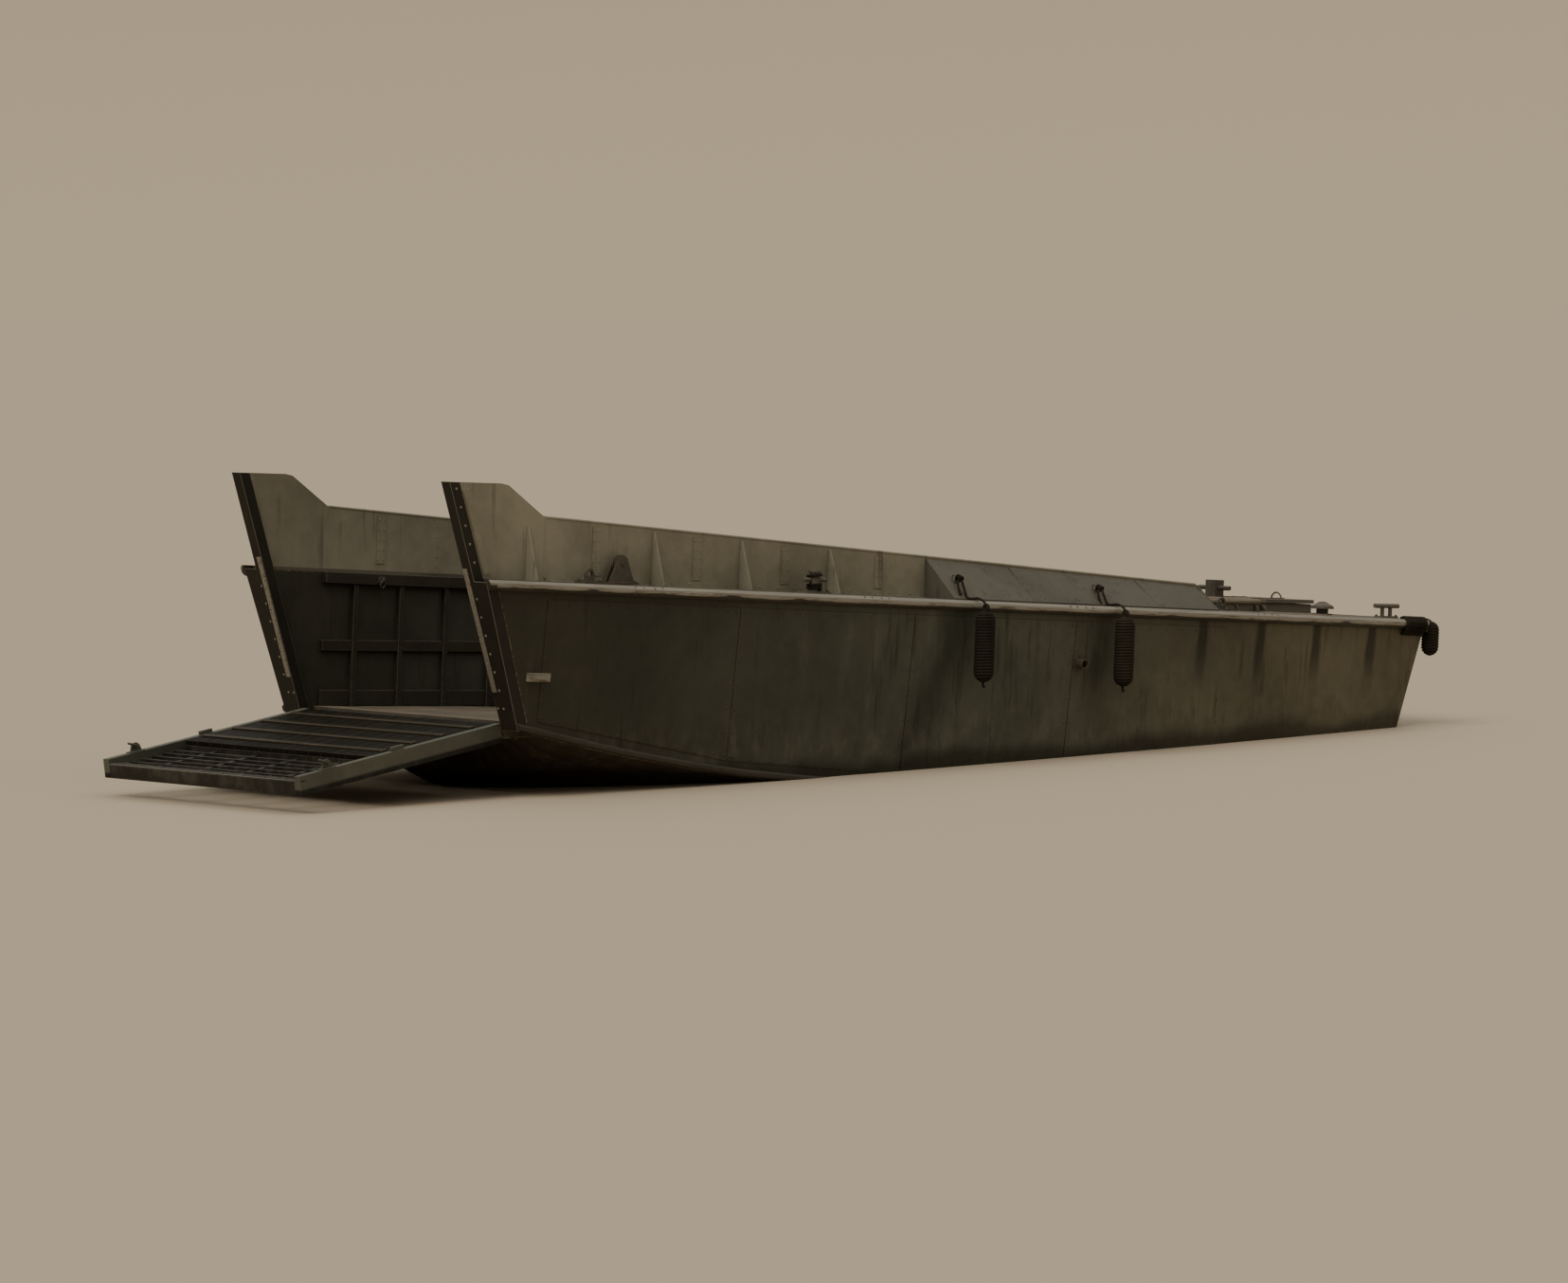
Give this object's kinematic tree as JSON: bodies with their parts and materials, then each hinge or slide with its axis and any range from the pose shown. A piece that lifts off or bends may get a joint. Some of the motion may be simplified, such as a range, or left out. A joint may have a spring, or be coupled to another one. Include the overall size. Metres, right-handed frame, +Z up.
{
  "type": "ramped landing craft",
  "caption": "Open-welled wooden landing craft with a steel bow ramp that is lowered, raked wings, an engine casing, round cockpits aft, a screw in a tunnel and a rudder.",
  "frame": {"origin": "on the waterline, amidships, on the centreline of the hull", "axes": "+X towards the bow, +Y to port, +Z up from the level water; the hull itself lies 3 degrees bow up"},
  "size_m": [12.1818, 3.4809, 3.4509],
  "materials": {
    "hull_paint": "dark grey paint on planking, matt and salt worn",
    "bottom_paint": "dark bottom paint, matt, scuffed by sand",
    "deck_paint": "grey deck paint, walked on",
    "armour_paint": "lighter grey paint on steel plate, chipped at the edges",
    "guard_timber": "painted hardwood, rubbed bare on its crown",
    "worn_timber": "worn boards, wet and sandy",
    "fittings": "grey painted steel with rust at its edges",
    "bronze": "dull sea-worn bronze",
    "underwater_steel": "dark bottom paint on steel, matt",
    "machinery": "engine grey enamel",
    "rope": "tarred manila rope, dark and wet"
  },
  "bodies": {
    "hull": {"hull_bottom": "bottom_paint", "headlog": "worn_timber", "hull_side_port": "hull_paint", "hull_side_starboard": "hull_paint", "bow_post_port": "armour_paint", "bow_post_starboard": "armour_paint", "bow_wing_port": "armour_paint", "bow_wing_starboard": "armour_paint", "coaming_port": "armour_paint", "coaming_starboard": "armour_paint", "splash_plate_port": "armour_paint", "splash_plate_starboard": "armour_paint", "side_deck_port": "deck_paint", "side_deck_starboard": "deck_paint", "afterdeck": "deck_paint", "lifting_eye_forward_port": "fittings", "lifting_eye_forward_starboard": "fittings", "lifting_eye_aft_port": "fittings", "lifting_eye_aft_starboard": "fittings", "cockpit_tub_port": "deck_paint", "cockpit_tub_starboard": "deck_paint", "transom": "hull_paint", "sheer_guard_port": "guard_timber", "sheer_guard_starboard": "guard_timber", "chine_guard_port": "guard_timber", "chine_guard_starboard": "guard_timber", "stern_guard": "guard_timber", "well_floor": "worn_timber", "passage_floor": "worn_timber", "well_bulkhead": "hull_paint", "cockpit_bulkhead": "hull_paint", "engine_case": "hull_paint", "engine": "machinery", "steering_stand": "machinery", "ramp_winch": "fittings", "ramp_sheave_port": "fittings", "ramp_sheave_starboard": "fittings", "ramp_hinge": "fittings", "skeg": "bottom_paint", "propeller_shaft": "bronze", "towing_bitt": "fittings", "cooling_outlet": "fittings", "bow_pad_port": "fittings", "fender_forward": "rope", "fender_aft": "rope"},
    "ramp": {"ramp_frame": "armour_paint", "ramp_deck": "worn_timber", "ramp_grille": "fittings"},
    "propeller": {"propeller": "bronze"},
    "rudder": {"rudder": "underwater_steel"},
    "steering_wheel": {"steering_wheel": "fittings"},
    "engine_cover_port": {"engine_cover_port": "deck_paint"},
    "engine_cover_starboard": {"engine_cover_starboard": "deck_paint"},
    "stern_hatch_lid": {"stern_hatch_lid": "deck_paint"}
  },
  "joints": [
    {"name": "ramp_hinge_turn", "type": "hinge", "parent": "hull", "child": "ramp", "pos_m": [4.58737, 0, 0.49032], "axis": [0, -1, 0], "range_deg": [-15, 80.1]},
    {"name": "propeller_spin", "type": "hinge", "parent": "hull", "child": "propeller", "pos_m": [-4.00546, 0, -0.63594], "axis": [0.9877, 0, 0.1564], "continuous": true},
    {"name": "rudder_turn", "type": "hinge", "parent": "hull", "child": "rudder", "pos_m": [-4.51712, 0, -0.61769], "axis": [-0.0523, 0, 0.9986], "range_deg": [-35, 35]},
    {"name": "steering_wheel_turn", "type": "hinge", "parent": "hull", "child": "steering_wheel", "pos_m": [-1.06017, 0.88, 1.25079], "axis": [-0.9063, 0, 0.4226], "range_deg": [-540, 540]},
    {"name": "engine_cover_port_lift", "type": "hinge", "parent": "hull", "child": "engine_cover_port", "pos_m": [-1.80895, 0.58, 1.11241], "axis": [-0.9986, 0, -0.0523], "range_deg": [0, 88]},
    {"name": "engine_cover_starboard_lift", "type": "hinge", "parent": "hull", "child": "engine_cover_starboard", "pos_m": [-1.80895, -0.58, 1.11241], "axis": [0.9986, 0, 0.0523], "range_deg": [0, 88]},
    {"name": "stern_hatch_lift", "type": "hinge", "parent": "hull", "child": "stern_hatch_lid", "pos_m": [-4.71784, 0, 1.01504], "axis": [0, 1, 0], "range_deg": [0, 100]}
  ],
  "couplings": [
    {"joint": "steering_wheel_turn", "follows": "rudder_turn", "ratio": 15.4}
  ]
}
